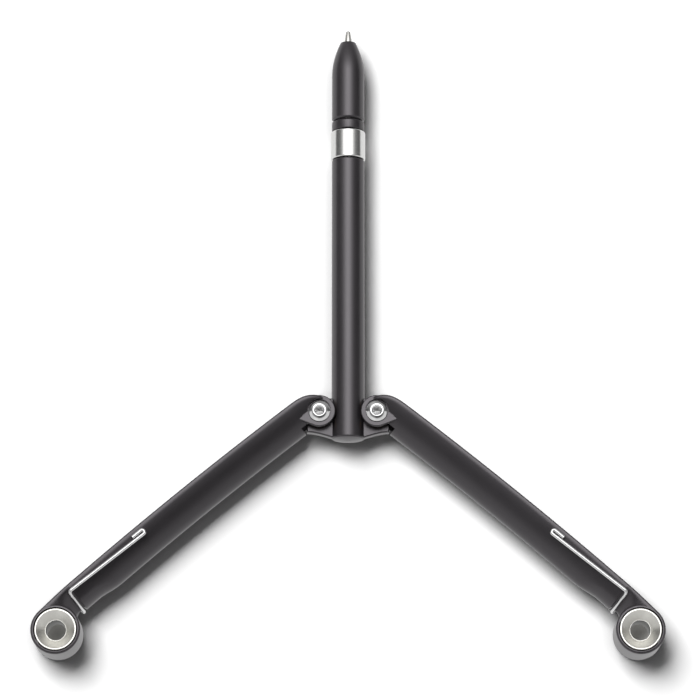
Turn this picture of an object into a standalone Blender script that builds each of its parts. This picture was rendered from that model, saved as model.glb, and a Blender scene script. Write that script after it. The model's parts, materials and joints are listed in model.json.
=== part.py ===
"""Balisong pen: a ballpoint pen with two swinging channel handles.

The pen lies on its side along +Y, with +Z up and its underside at z = 0. The handles stand half open,
each turned about its pivot at the base of the barrel. Stations along the pen are measured from the
line through both pivots. A handle has its own frame on its pivot: x along the handle to the end ring,
y across it (positive towards its back, the side away from the channel) and z from the middle plane.
"""

import bmesh
import bpy
from math import acos, atan2, cos, pi, radians, sin, sqrt
from mathutils import Matrix

MM = 0.001

# Fits
FIT_GAP = 0.25 * MM
SWING_GAP = 0.5 * MM
BARREL_CLEARANCE = 0.3 * MM
EAR_CLEARANCE = 0.215 * MM

# Refill
REFILL_DIAMETER = 3.1 * MM
REFILL_WALL = 0.65 * MM
REFILL_SEAT_LENGTH = 6.0 * MM
SEAT_HEIGHT = 5.2 * MM
NIB_SHOULDER = 0.4 * MM
NIB_LENGTH = 13.3 * MM
NIB_EXPOSED = 3.5 * MM
NIB_TAPER = 0.05 * MM
NIB_STEM_LENGTH = 3.0 * MM
BALL_DIAMETER = 1.0 * MM
BALL_CLEARANCE = 0.06 * MM
BALL_GRIP = radians(20)

# Barrel and base
BORE_CLEARANCE = 0.55 * MM
BARREL_WALL = 1.1 * MM
BARREL_LENGTH = 69.8 * MM
BASE_BOW = 2.15 * MM
BASE_DOME = 0.55 * MM
EDGE_ROUND = 0.3 * MM

# Band, collar and nose
BAND_PROUD = 0.25 * MM
BAND_LENGTH = 7.7 * MM
SPIGOT_WALL = 0.9 * MM
SPIGOT_LENGTH = 8.0 * MM
COLLAR_LENGTH = 3.15 * MM
GROOVE_WIDTH = 1.1 * MM
GROOVE_DEPTH = 0.45 * MM
NOSE_LENGTH = 22.25 * MM
OGIVE_LENGTH = 9.5 * MM
LIP_WALL = 0.65 * MM

# Pivots
LUG_RADIUS = 4.0 * MM
PLATE_THICKNESS = 2.8 * MM
CORNER_REACH = 2.1 * MM
CORNER_ANGLE = radians(-58.4)
WASHER_THICKNESS = 0.4 * MM
WASHER_GAP = 0.2 * MM
SHANK_DIAMETER = 2.5 * MM
SLEEVE_WALL = 0.5 * MM
HEAD_LAP = 0.6 * MM
HEAD_HEIGHT = 1.2 * MM
HEAD_SINK = 0.45 * MM
HEAD_RIM = 0.4 * MM
HEAD_FLAT = 0.195 * MM
SOCKET_WIDTH = 2.0 * MM
SOCKET_DEPTH = 0.95 * MM
SOCKET_CHAMFER = 0.3 * MM

# Handles
HANDLE_LENGTH = 89.35 * MM
HANDLE_DROP = radians(40.5)
CHANNEL_WALL = 1.0 * MM
CHANNEL_END_WALL = 1.0 * MM
EAR_RADIUS = 4.2 * MM
EAR_INSET = 0.15 * MM
EAR_TURN = radians(46)
EAR_BLEND = 4
EAR_FLOOR = 0.65 * MM
EAR_STEP = 1.23 * MM
EAR_TAIL_REACH = 5.6 * MM
EAR_TAIL_SIDE = 1.6 * MM
HANDLE_PARTING = 0.25 * MM
OUTER_PEAK = 56.0 * MM
OUTER_BOW = 1.1 * MM
BACK_WAIST = 0.9 * MM
BACK_WAIST_AT = 54.0 * MM
BACK_FLARE = 1.4 * MM
BACK_PINCH = 0.85 * MM
PINCH_LENGTH = 7.0 * MM
PINCH_TO_STEP = 4.0 * MM
FACE_RADIUS = 14.6 * MM
FACE_TILT = radians(12)
RIM_ROUND = 0.5 * MM
RIM_LAND = 0.5 * MM
RING_WALL = 0.755 * MM
RING_ROUND = 0.55 * MM
NECK_LENGTH = 3.27 * MM
NECK_FLAT = 1.6 * MM
NECK_RISE = 4.0 * MM
NECK_TILT = radians(28)
NECK_INSET = 0.75 * MM
NECK_FLARE = 1.0 * MM
STEP_LEAN = 0.05 * MM

# End weights
WEIGHT_DIAMETER = 10.95 * MM
WEIGHT_SINK = 0.15 * MM
WEIGHT_RIM = 0.45 * MM
WEIGHT_HOLE = 5.25 * MM
DISH_DEPTH = 2.0 * MM

# Clips
WIRE_DIAMETER = 0.9 * MM
WIRE_GAP = 0.3 * MM
WIRE_STEP_GAP = 0.55 * MM
CLIP_LENGTH = 25.0 * MM
HOOK_LENGTH = 2.8 * MM
HOOK_GAP = 0.25 * MM
CLIP_INSET = 2.0 * MM
CLIP_SLANT = 0.8 * MM
CLIP_TAIL_INSET = 3.9 * MM
BEND_INSIDE = 0.35 * MM

# Smoothness of the round shapes
ROUND_STEPS = 32
SMALL_STEPS = 20
ARC_STEPS = 5
NECK_STEPS = 4
SHARP_ANGLE = radians(35)
MERGE_DISTANCE = 0.01 * MM

# Radii of the pen, outwards from the refill
refill_radius = REFILL_DIAMETER / 2
tube_bore = refill_radius - REFILL_WALL
nib_radius = refill_radius - NIB_SHOULDER
guide_radius = nib_radius + FIT_GAP
bore_radius = refill_radius + BORE_CLEARANCE
spigot_radius = bore_radius + SPIGOT_WALL
socket_radius = spigot_radius + FIT_GAP
barrel_radius = socket_radius + BARREL_WALL
band_radius = barrel_radius + BAND_PROUD
nose_radius = barrel_radius

# Stations along the pen
barrel_top = BARREL_LENGTH
band_top = barrel_top + BAND_LENGTH
parting = band_top + COLLAR_LENGTH
mouth = parting + NOSE_LENGTH
tip = mouth + NIB_EXPOSED
shoulder = tip - NIB_LENGTH
sleeve_low = barrel_top - SPIGOT_LENGTH
sleeve_high = band_top + SPIGOT_LENGTH

# Heights from the middle plane, inwards through a pivot to the lug between the ears
channel_radius = barrel_radius + BARREL_CLEARANCE
half_handle = channel_radius + CHANNEL_WALL
ear_face = half_handle - EAR_STEP
head_top = half_handle - HEAD_SINK
head_under = head_top - HEAD_HEIGHT
head_seat = head_under - FIT_GAP
ear_inside = head_seat - EAR_FLOOR
washer_high = ear_inside - WASHER_GAP
washer_low = washer_high - WASHER_THICKNESS
half_lug = washer_low - WASHER_GAP

# Radii of a pivot, outwards from the screw's shank
shank_radius = SHANK_DIAMETER / 2
shank_hole = shank_radius + FIT_GAP
sleeve_radius = shank_hole + SLEEVE_WALL
sleeve_hole = sleeve_radius + FIT_GAP
head_radius = sleeve_hole + HEAD_LAP
socket_corner = SOCKET_WIDTH / sqrt(3)
socket_mouth = socket_corner + SOCKET_CHAMFER

# Each pivot stands as near to the barrel as the swing of the ears lets it
half_spacing = EAR_RADIUS + sqrt((barrel_radius + EAR_CLEARANCE) ** 2 - ear_inside ** 2)
washer_radius = half_spacing - sqrt(barrel_radius ** 2 - washer_low ** 2) - BARREL_CLEARANCE

# Base edge and the slot in the handles that clears it
corner_distance = LUG_RADIUS + CORNER_REACH
corner_x = half_spacing + corner_distance * cos(CORNER_ANGLE)
corner_y = corner_distance * sin(CORNER_ANGLE)
base_depth = BASE_BOW - corner_y
slot_radius = corner_distance + SWING_GAP

# Places along a handle
ring_radius = WEIGHT_DIAMETER / 2 + FIT_GAP + RING_WALL
step_to_ring = ring_radius + NECK_LENGTH
step_at = HANDLE_LENGTH - step_to_ring
ear_start = RIM_ROUND - EAR_RADIUS
ear_round = EAR_RADIUS - EAR_INSET
ear_turn = -ear_round * sin(EAR_TURN)
outer_width = half_spacing - HANDLE_PARTING

# The frame: the middle of the lying pen's box, on the surface under it
lowest = -HANDLE_LENGTH * sin(HANDLE_DROP) - ring_radius
pivot_y = -(tip + lowest) / 2
pivot_z = half_handle


def clear_scene():
    for item in list(bpy.data.objects):
        bpy.data.objects.remove(item, do_unlink=True)


def collection(name):
    group = bpy.data.collections.new(name)
    bpy.context.scene.collection.children.link(group)
    return group


def material(name, colour, roughness, metallic):
    made = bpy.data.materials.new(name)
    made.use_nodes = True
    shader = made.node_tree.nodes["Principled BSDF"]
    shader.inputs["Base Color"].default_value = (*colour, 1.0)
    shader.inputs["Roughness"].default_value = roughness
    shader.inputs["Metallic"].default_value = metallic
    return made


def add(name, mesh, parent, finish=None):
    """A piece with its own finish, or a hidden helper when it has none."""
    item = bpy.data.objects.new(name, mesh)
    item.parent = parent
    if finish is None:
        helpers.objects.link(item)
        item.hide_render = True
        item.display_type = "WIRE"
        return item
    pieces.objects.link(item)
    mesh.materials.append(finish)
    return item


def turned(name, profile, parent, finish=None, steps=ROUND_STEPS, closed=False):
    """A profile of (radius, height) points, top to bottom on its outer side, turned about z."""
    mesh = bpy.data.meshes.new(name)
    points = [(radius, 0.0, height) for radius, height in profile]
    edges = [(i, i + 1) for i in range(len(points) - 1)]
    if closed:
        edges.append((len(points) - 1, 0))
    mesh.from_pydata(points, edges, [])
    item = add(name, mesh, parent, finish)
    screw = item.modifiers.new("Turn", "SCREW")
    screw.axis = "Z"
    screw.steps = steps
    screw.render_steps = steps
    screw.use_merge_vertices = True
    screw.merge_threshold = MERGE_DISTANCE
    screw.use_smooth_shade = True
    return item


def cylinder(name, radius, low, high, parent, steps=ROUND_STEPS):
    mesh = bpy.data.meshes.new(name)
    shape = bmesh.new()
    place = Matrix.Translation((0, 0, (low + high) / 2))
    bmesh.ops.create_cone(shape, cap_ends=True, segments=steps, radius1=radius, radius2=radius,
                          depth=high - low, matrix=place)
    shape.to_mesh(mesh)
    shape.free()
    return add(name, mesh, parent)


def slab(name, outline, low, high, parent):
    """A flat outline of (x, y) points, as a solid from one height to another."""
    curve = bpy.data.curves.new(name, "CURVE")
    curve.dimensions = "2D"
    curve.fill_mode = "BOTH"
    curve.extrude = (high - low) / 2
    spline = curve.splines.new("POLY")
    spline.points.add(len(outline) - 1)
    for point, (x, y) in zip(spline.points, outline):
        point.co = (x, y, 0.0, 1.0)
    spline.use_cyclic_u = True
    drawn = bpy.data.objects.new(name, curve)
    helpers.objects.link(drawn)
    depsgraph = bpy.context.evaluated_depsgraph_get()
    mesh = bpy.data.meshes.new_from_object(drawn.evaluated_get(depsgraph))
    bpy.data.objects.remove(drawn, do_unlink=True)
    shape = bmesh.new()
    shape.from_mesh(mesh)
    bmesh.ops.remove_doubles(shape, verts=shape.verts, dist=MERGE_DISTANCE)
    bmesh.ops.translate(shape, verts=shape.verts, vec=(0, 0, (low + high) / 2))
    bmesh.ops.recalc_face_normals(shape, faces=shape.faces)
    shape.to_mesh(mesh)
    shape.free()
    return add(name, mesh, parent)


def boolean(item, operation, other):
    change = item.modifiers.new(other.name, "BOOLEAN")
    change.operation = operation
    change.object = other
    change.solver = "EXACT"


def arc(centre, radius, start, end, steps=ARC_STEPS):
    """Points along an arc, with its angles in radians."""
    angles = [start + (end - start) * i / steps for i in range(steps + 1)]
    return [(centre[0] + radius * cos(a), centre[1] + radius * sin(a)) for a in angles]


def eased(place, start, length):
    """A share that rises smoothly from 0 to 1 over a length."""
    share = min(1.0, max(0.0, (place - start) / length))
    return share ** 2 * (3 - 2 * share)


def empty(name, place, turn):
    item = bpy.data.objects.new(name, None)
    item.location = place
    item.rotation_euler = turn
    helpers.objects.link(item)
    return item


def make_barrel(finish):
    """Tube with a blind bore for the refill, a domed base and the plate of the two pivot lugs."""
    front = barrel_top - FIT_GAP
    seat_radius = refill_radius + FIT_GAP
    seat_floor = SEAT_HEIGHT - FIT_GAP
    socket_floor = sleeve_low - FIT_GAP
    dome_radius = (barrel_radius ** 2 + BASE_DOME ** 2) / (2 * BASE_DOME)
    dome_turn = acos((dome_radius - BASE_DOME) / dome_radius)
    dome = arc((0.0, dome_radius - base_depth), dome_radius, dome_turn - pi / 2, -pi / 2)
    profile = [
        (0.0, seat_floor),
        (seat_radius, seat_floor),
        (seat_radius, seat_floor + REFILL_SEAT_LENGTH),
        (bore_radius, seat_floor + REFILL_SEAT_LENGTH + FIT_GAP),
        (bore_radius, socket_floor),
        (socket_radius, socket_floor),
        (socket_radius, front),
        (barrel_radius - EDGE_ROUND, front),
        (barrel_radius, front - EDGE_ROUND),
        *dome[:-1],
        (0.0, -base_depth),
    ]
    barrel = turned("barrel", profile, pen_axis, finish)

    # The lug plate: bosses round the pivots, tangents to the base corners and the swelling base edge
    tangent = CORNER_ANGLE + acos(LUG_RADIUS / corner_distance)
    right_boss = arc((half_spacing, 0.0), LUG_RADIUS, pi / 2, tangent, 2 * ARC_STEPS)
    base_steps = 4 * ARC_STEPS
    base = []
    for i in range(base_steps + 1):
        x = corner_x * (1 - 2 * i / base_steps)
        base.append((x, corner_y - BASE_BOW * (1 - eased(abs(x), 0.0, corner_x))))
    left_boss = [(-x, y) for x, y in reversed(right_boss)]
    half_plate = PLATE_THICKNESS / 2
    plate = slab("lug_plate", right_boss + base + left_boss, -half_plate, half_plate, pivot_line)
    rounding = plate.modifiers.new("Edges", "BEVEL")
    rounding.width = EDGE_ROUND
    rounding.segments = 2
    rounding.limit_method = "ANGLE"
    rounding.angle_limit = SHARP_ANGLE
    boolean(barrel, "UNION", plate)
    for side, name in ((-1, "left"), (1, "right")):
        boss = cylinder(f"{name}_lug_boss", washer_radius, -half_lug, half_lug, pivot_line)
        boss.location.x = side * half_spacing
        boolean(barrel, "UNION", boss)
        hole = cylinder(f"{name}_lug_hole", sleeve_hole, -half_handle, half_handle, pivot_line, SMALL_STEPS)
        hole.location.x = side * half_spacing
        boolean(barrel, "DIFFERENCE", hole)


def make_nose(black, steel):
    """Band with its joining sleeve, then the collar and the nose that screw onto it."""
    turned("grip_band", [
        (bore_radius, sleeve_high),
        (spigot_radius, sleeve_high),
        (spigot_radius, band_top),
        (band_radius - EDGE_ROUND, band_top),
        (band_radius, band_top - EDGE_ROUND),
        (band_radius, barrel_top + EDGE_ROUND),
        (band_radius - EDGE_ROUND, barrel_top),
        (spigot_radius, barrel_top),
        (spigot_radius, sleeve_low),
        (bore_radius, sleeve_low),
    ], pen_axis, steel, closed=True)

    collar_low = band_top + FIT_GAP
    collar_high = parting - FIT_GAP / 2
    turned("nose_collar", [
        (socket_radius, collar_high),
        (nose_radius - GROOVE_DEPTH, collar_high),
        (nose_radius, parting - GROOVE_WIDTH / 2),
        (nose_radius, collar_low + EDGE_ROUND),
        (nose_radius - EDGE_ROUND, collar_low),
        (socket_radius, collar_low),
    ], pen_axis, black, closed=True)

    nose_low = parting + FIT_GAP / 2
    socket_top = sleeve_high + FIT_GAP
    stop = shoulder + FIT_GAP
    refill_way = refill_radius + FIT_GAP
    lip = guide_radius + LIP_WALL
    ogive_steps = 2 * ARC_STEPS
    ogive = []
    for i in range(ogive_steps + 1):
        share = i / ogive_steps
        ogive.append((lip + (nose_radius - lip) * (1 - (1 - share) ** 2), mouth - OGIVE_LENGTH * share))
    turned("nose_cone", [
        (guide_radius, stop),
        (guide_radius, mouth),
        *ogive,
        (nose_radius, parting + GROOVE_WIDTH / 2),
        (nose_radius - GROOVE_DEPTH, nose_low),
        (socket_radius, nose_low),
        (socket_radius, socket_top),
        (refill_way, socket_top),
        (refill_way, stop),
    ], pen_axis, black, closed=True)


def make_refill(ink_tube, nickel, carbide):
    """Ink tube from its seat in the barrel to the nib's shoulder, and the nib with its ball."""
    turned("refill_tube", [
        (tube_bore, shoulder),
        (refill_radius, shoulder),
        (refill_radius, SEAT_HEIGHT),
        (tube_bore, SEAT_HEIGHT),
    ], pen_axis, ink_tube, SMALL_STEPS, closed=True)

    ball = BALL_DIAMETER / 2
    ball_centre = tip - ball
    cup = ball + BALL_CLEARANCE
    stem = tube_bore - FIT_GAP
    seat = arc((0.0, ball_centre), cup, -pi / 2, BALL_GRIP)
    turned("refill_nib", [
        (0.0, ball_centre - cup),
        *seat[1:],
        (cup + BALL_CLEARANCE, ball_centre + cup * sin(BALL_GRIP)),
        (nib_radius - NIB_TAPER, mouth),
        (nib_radius, mouth - NIB_EXPOSED),
        (nib_radius, shoulder + FIT_GAP),
        (stem, shoulder + FIT_GAP),
        (stem, shoulder - NIB_STEM_LENGTH),
        (0.0, shoulder - NIB_STEM_LENGTH),
    ], pen_axis, nickel, SMALL_STEPS)

    profile = arc((0.0, ball_centre), ball, pi / 2, -pi / 2, 2 * ARC_STEPS)
    profile[0] = (0.0, tip)
    profile[-1] = (0.0, ball_centre - ball)
    turned("writing_ball", profile, pen_axis, carbide, SMALL_STEPS)


def outer_edge(along):
    """How far the channel side lies from the pivot line of the handle, at a place along it."""
    bowed = outer_width - OUTER_BOW * ((along - OUTER_PEAK) / (OUTER_PEAK - slot_radius)) ** 2
    if along < ear_turn:
        return sqrt(ear_round ** 2 - along ** 2)
    if along < slot_radius:
        share = (along - ear_turn) / (slot_radius - ear_turn)
        at_ear = ear_round * cos(EAR_TURN)
        return at_ear + (bowed - at_ear) * (1 - (1 - share) ** EAR_BLEND)
    if along > step_at:
        share = (along - step_at) / step_to_ring
        return bowed + (ring_radius - bowed) * share ** 2
    return bowed


def back_edge(along):
    """How far the back lies from the pivot line: waisted, then drawn in towards the step."""
    waisted = BACK_WAIST + BACK_FLARE * ((along - BACK_WAIST_AT) / BACK_WAIST_AT) ** 2
    pinch_start = step_at - PINCH_TO_STEP - PINCH_LENGTH
    return waisted - BACK_PINCH * eased(along, pinch_start, PINCH_LENGTH)


def section_arcs(along, neck=False):
    """The face's arc and the arc round the back that it runs into: centres, radius, shared tangent."""
    back = back_edge(along)
    tilt = FACE_TILT
    if neck:
        risen = eased(along, step_at + NECK_FLAT, NECK_RISE)
        tilt += (NECK_TILT - FACE_TILT) * (1 - risen)
        back += NECK_FLARE * risen - NECK_INSET * (1 - risen)
    face_start = outer_edge(max(along, slot_radius)) - RIM_ROUND - RIM_LAND
    face_centre = (-face_start - FACE_RADIUS * sin(tilt), half_handle - FACE_RADIUS * cos(tilt))
    reach = back - face_centre[0]
    spare = FACE_RADIUS ** 2 - reach ** 2 - face_centre[1] ** 2
    back_radius = spare / (2 * (FACE_RADIUS - reach))
    tangent = acos((reach - back_radius) / (FACE_RADIUS - back_radius))
    return face_centre, (back - back_radius, 0.0), back_radius, tangent


def handle_section(along, neck=False):
    """Points (across, height) round the handle: its back, arched faces, narrow lands and rounded rims."""
    face_centre, back_centre, back_radius, tangent = section_arcs(along, neck)
    outer = -outer_edge(along)
    face_end = acos((outer + RIM_ROUND + RIM_LAND - face_centre[0]) / FACE_RADIUS)
    upper = arc(back_centre, back_radius, 0.0, tangent)
    upper += arc(face_centre, FACE_RADIUS, tangent, face_end)[1:]
    land = upper[-1][1]
    upper += arc((outer + RIM_ROUND, land - RIM_ROUND), RIM_ROUND, pi / 2, pi, 2)
    lower = [(across, -height) for across, height in reversed(upper[1:])]
    return upper + lower


def loft(name, sections, parent, finish):
    """A solid through sections of equally many (x, y, z) points, closed at both ends."""
    mesh = bpy.data.meshes.new(name)
    shape = bmesh.new()
    rings = [[shape.verts.new(point) for point in section] for section in sections]
    for ring, following in zip(rings, rings[1:]):
        for i in range(len(ring)):
            j = (i + 1) % len(ring)
            shape.faces.new((ring[i], ring[j], following[j], following[i]))
    shape.faces.new(rings[0])
    shape.faces.new(rings[-1])
    bmesh.ops.recalc_face_normals(shape, faces=shape.faces)
    shape.to_mesh(mesh)
    shape.free()
    return add(name, mesh, parent, finish)


def make_handle(name, side, pivot, finish):
    """Channel handle: two ears on the pivot, a bowed body and the ring that holds the end weight."""
    near = [ear_start + (slot_radius - ear_start) * i / (2 * ARC_STEPS) for i in range(2 * ARC_STEPS)]
    middle = [slot_radius + (step_at - slot_radius) * i / (2 * ARC_STEPS) for i in range(2 * ARC_STEPS + 1)]
    neck = [step_at + NECK_FLAT + NECK_RISE * i / NECK_STEPS for i in range(NECK_STEPS + 1)]
    neck = [step_at + STEP_LEAN, *neck, HANDLE_LENGTH]
    stations = [(along, False) for along in near + middle] + [(along, True) for along in neck]
    sections = []
    for along, on_neck in stations:
        section = handle_section(along, on_neck)
        sections.append([(along, side * across, height) for across, height in section])
    handle = loft(f"{name}_handle", sections, pivot, finish)

    # Ear: a flat boss round the pivot, with a tail that runs out where the arched face reaches its height
    tail_turn = atan2(-EAR_TAIL_SIDE, EAR_TAIL_REACH)
    opening = acos(EAR_RADIUS / sqrt(EAR_TAIL_REACH ** 2 + EAR_TAIL_SIDE ** 2))
    boss = arc((0.0, 0.0), EAR_RADIUS, tail_turn + opening, tail_turn - opening + 2 * pi, ROUND_STEPS)
    outline = [(x, side * y) for x, y in [(EAR_TAIL_REACH, -EAR_TAIL_SIDE), *boss]]
    boolean(handle, "UNION", slab(f"{name}_ear", outline, -ear_face, ear_face, pivot))

    straight = half_handle - RING_ROUND
    rounded = arc((ring_radius - RING_ROUND, straight), RING_ROUND, pi / 2, 0.0, 3)
    profile = [(0.0, half_handle)] + rounded
    profile += [(radius, -height) for radius, height in reversed(profile)]
    ring = turned(f"{name}_ring", profile, pivot)
    ring.location.x = HANDLE_LENGTH
    boolean(handle, "UNION", ring)

    clear = 2 * half_handle
    for face, label in ((1, "front"), (-1, "back")):
        low, high = sorted((face * head_seat, face * clear))
        counterbore = cylinder(f"{name}_{label}_counterbore", head_radius + FIT_GAP, low, high, pivot)
        boolean(handle, "DIFFERENCE", counterbore)

    # Channel for the barrel, slot for the lug, pivot hole and the seat of the weight
    channel_end = step_at - CHANNEL_END_WALL
    channel = cylinder(f"{name}_channel", channel_radius, -2 * EAR_RADIUS, channel_end, pivot)
    channel.rotation_euler = (0.0, pi / 2, 0.0)
    channel.location.y = -side * half_spacing
    boolean(handle, "DIFFERENCE", channel)
    slot = cylinder(f"{name}_slot", slot_radius, -ear_inside, ear_inside, pivot)
    boolean(handle, "DIFFERENCE", slot)
    hole = cylinder(f"{name}_pivot_hole", sleeve_hole, -clear, clear, pivot, SMALL_STEPS)
    boolean(handle, "DIFFERENCE", hole)
    seat = cylinder(f"{name}_weight_seat", WEIGHT_DIAMETER / 2 + FIT_GAP, -clear, clear, pivot)
    seat.location.x = HANDLE_LENGTH
    boolean(handle, "DIFFERENCE", seat)


def make_weight(name, pivot, finish):
    """Turned ring with a dished face on each side and a hole through it."""
    radius = WEIGHT_DIAMETER / 2
    face = half_handle - WEIGHT_SINK
    top = [
        (WEIGHT_HOLE / 2, face - DISH_DEPTH),
        (radius - WEIGHT_RIM, face),
        (radius - WEIGHT_RIM / 2, face),
        (radius, face - WEIGHT_RIM / 2),
    ]
    bottom = [(r, -h) for r, h in reversed(top)]
    weight = turned(f"{name}_end_weight", top + bottom, pivot, finish, closed=True)
    weight.location.x = HANDLE_LENGTH


def head_profile():
    """Outer side of a button head, from the middle of its top to its underside."""
    rim_top = head_under + HEAD_RIM
    flat = socket_mouth + HEAD_FLAT
    points = [(0.0, head_top)]
    for i in range(ARC_STEPS + 1):
        turn = pi / 2 * i / ARC_STEPS
        height = rim_top + (head_top - rim_top) * cos(turn)
        points.append((flat + (head_radius - flat) * sin(turn), height))
    return points + [(head_radius, head_under)]


def cut_socket(item, pivot):
    """Hex socket with a countersunk mouth in the top of a head."""
    clear = 2 * half_handle
    socket = cylinder(f"{item.name}_socket", socket_corner, head_top - SOCKET_DEPTH, clear, pivot, 6)
    cone = turned(f"{item.name}_socket_mouth", [
        (0.0, clear),
        (socket_mouth, clear),
        (socket_mouth, head_top),
        (0.0, head_top - socket_mouth),
    ], pivot, steps=SMALL_STEPS)
    boolean(item, "DIFFERENCE", cone)
    boolean(item, "DIFFERENCE", socket)
    return socket, cone


def make_pivot(name, pivot, steel, bronze):
    """Screw and sleeve nut through the ears and the lug, with a washer on each side of the lug."""
    shank_end = -half_lug
    sleeve_floor = shank_end - FIT_GAP
    profile = head_profile() + [(shank_radius, head_under), (shank_radius, shank_end), (0.0, shank_end)]
    screw = turned(f"{name}_pivot_screw", profile, pivot, steel, SMALL_STEPS)
    cut_socket(screw, pivot)

    under = [(radius, -height) for radius, height in reversed(head_profile())]
    profile = [
        (0.0, sleeve_floor),
        (shank_hole, sleeve_floor),
        (shank_hole, head_seat),
        (sleeve_radius, head_seat),
        (sleeve_radius, -head_under),
        *under,
    ]
    nut = turned(f"{name}_pivot_nut", profile, pivot, steel, SMALL_STEPS)
    for cutter in cut_socket(nut, pivot):
        cutter.rotation_euler = (pi, 0.0, 0.0)

    for face, label in ((1, "front"), (-1, "back")):
        low, high = sorted((face * washer_low, face * washer_high))
        ring = [(sleeve_hole, high), (washer_radius, high), (washer_radius, low), (sleeve_hole, low)]
        turned(f"{name}_{label}_washer", ring, pivot, bronze, SMALL_STEPS, closed=True)


def clip_route():
    """The wire from its hook, along the handle's face, down into the neck and round its back."""
    wire = WIRE_DIAMETER / 2
    hook_radius = wire + HOOK_GAP / 2
    bend = wire + BEND_INSIDE
    cross = step_at + WIRE_STEP_GAP + wire
    bar_height = half_handle + WIRE_GAP + wire
    bar_start = -(outer_edge(step_at) - CLIP_INSET)
    bar_end = bar_start + CLIP_SLANT
    hook_turn = cross - CLIP_LENGTH + hook_radius

    # Round the neck, a wire's gap off its face and back
    face_centre, back_centre, back_radius, tangent = section_arcs(cross, neck=True)
    off = WIRE_GAP + wire
    face_end = acos((bar_start + bend - face_centre[0]) / (FACE_RADIUS + off))
    front = arc(face_centre, FACE_RADIUS + off, face_end, tangent)
    round_back = arc(back_centre, back_radius + off, tangent, -tangent, 2 * ARC_STEPS)
    tail_across = CLIP_TAIL_INSET - outer_edge(cross)
    tail_end = acos((tail_across - face_centre[0]) / (FACE_RADIUS + off))
    tail = arc(face_centre, FACE_RADIUS + off, tangent, tail_end)
    under = [(across, -height) for across, height in tail]
    neck_height = front[0][1]

    points = [(hook_turn + HOOK_LENGTH, bar_end - 2 * hook_radius, bar_height)]
    for along, across in arc((hook_turn, bar_end - hook_radius), hook_radius, -pi / 2, -3 * pi / 2):
        points.append((along, across, bar_height))
    points.append((cross - bend, bar_start, bar_height))
    for i in range(1, ARC_STEPS):
        turn = pi / 2 * i / ARC_STEPS
        along = cross - bend * (1 - sin(turn))
        height = bar_height - (bar_height - neck_height) * (1 - cos(turn))
        points.append((along, bar_start + bend * (1 - cos(turn)), height))
    points += [(cross, across, height) for across, height in front + round_back[1:] + under[1:]]
    return points


def make_clip(name, side, pivot, finish):
    curve = bpy.data.curves.new(f"{name}_clip", "CURVE")
    curve.dimensions = "3D"
    curve.bevel_depth = WIRE_DIAMETER / 2
    curve.bevel_resolution = 2
    curve.use_fill_caps = True
    route = clip_route()
    spline = curve.splines.new("POLY")
    spline.points.add(len(route) - 1)
    for point, (along, across, height) in zip(spline.points, route):
        point.co = (along, side * across, height, 1.0)
    clip = bpy.data.objects.new(f"{name}_clip", curve)
    clip.parent = pivot
    curve.materials.append(finish)
    pieces.objects.link(clip)


def shade_rounds(item):
    """Keep the shape as cut, smooth over its round faces and sharp along its edges."""
    depsgraph = bpy.context.evaluated_depsgraph_get()
    mesh = bpy.data.meshes.new_from_object(item.evaluated_get(depsgraph))
    mesh.shade_smooth()
    mesh.set_sharp_from_angle(angle=SHARP_ANGLE)
    item.modifiers.clear()
    item.data = mesh


clear_scene()
pieces = collection("balisong_pen")
helpers = collection("construction")

black_nylon = material("black_nylon", (0.030, 0.029, 0.031), 0.42, 0.0)
bright_steel = material("bright_steel", (0.72, 0.72, 0.71), 0.22, 1.0)
nickel_silver = material("nickel_silver", (0.66, 0.64, 0.58), 0.25, 1.0)
weight_nickel = material("weight_nickel", (0.53, 0.52, 0.48), 0.28, 1.0)
washer_bronze = material("washer_bronze", (0.58, 0.36, 0.17), 0.35, 1.0)
clear_plastic = material("clear_plastic", (0.55, 0.58, 0.62), 0.30, 0.0)
ball_carbide = material("ball_carbide", (0.35, 0.35, 0.36), 0.20, 1.0)

pivot_line = empty("pivot_line", (0.0, pivot_y, pivot_z), (0.0, 0.0, 0.0))
pen_axis = empty("pen_axis", (0.0, pivot_y, pivot_z), (-pi / 2, 0.0, 0.0))
left_pivot = empty("left_pivot", (-half_spacing, pivot_y, pivot_z), (0.0, 0.0, pi + HANDLE_DROP))
right_pivot = empty("right_pivot", (half_spacing, pivot_y, pivot_z), (0.0, 0.0, -HANDLE_DROP))

make_barrel(black_nylon)
make_nose(black_nylon, bright_steel)
make_refill(clear_plastic, nickel_silver, ball_carbide)
for name, side, pivot in (("left", 1, left_pivot), ("right", -1, right_pivot)):
    make_handle(name, side, pivot, black_nylon)
    make_weight(name, pivot, weight_nickel)
    make_pivot(name, pivot, bright_steel, washer_bronze)
    make_clip(name, side, pivot, bright_steel)

for item in pieces.objects:
    if item.type == "MESH":
        shade_rounds(item)
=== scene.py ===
"""Looks of the balisong pen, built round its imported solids.

The pen lies along +Y with its handles half open. Every mesh is made in the frame of the solids, in
metres. A handle is described by places along it, across it and above its middle plane.
"""

import json
from math import acos, atan2, cos, pi, radians, sin, sqrt, tan

import bmesh
import bpy
from mathutils import Matrix, Vector


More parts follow.
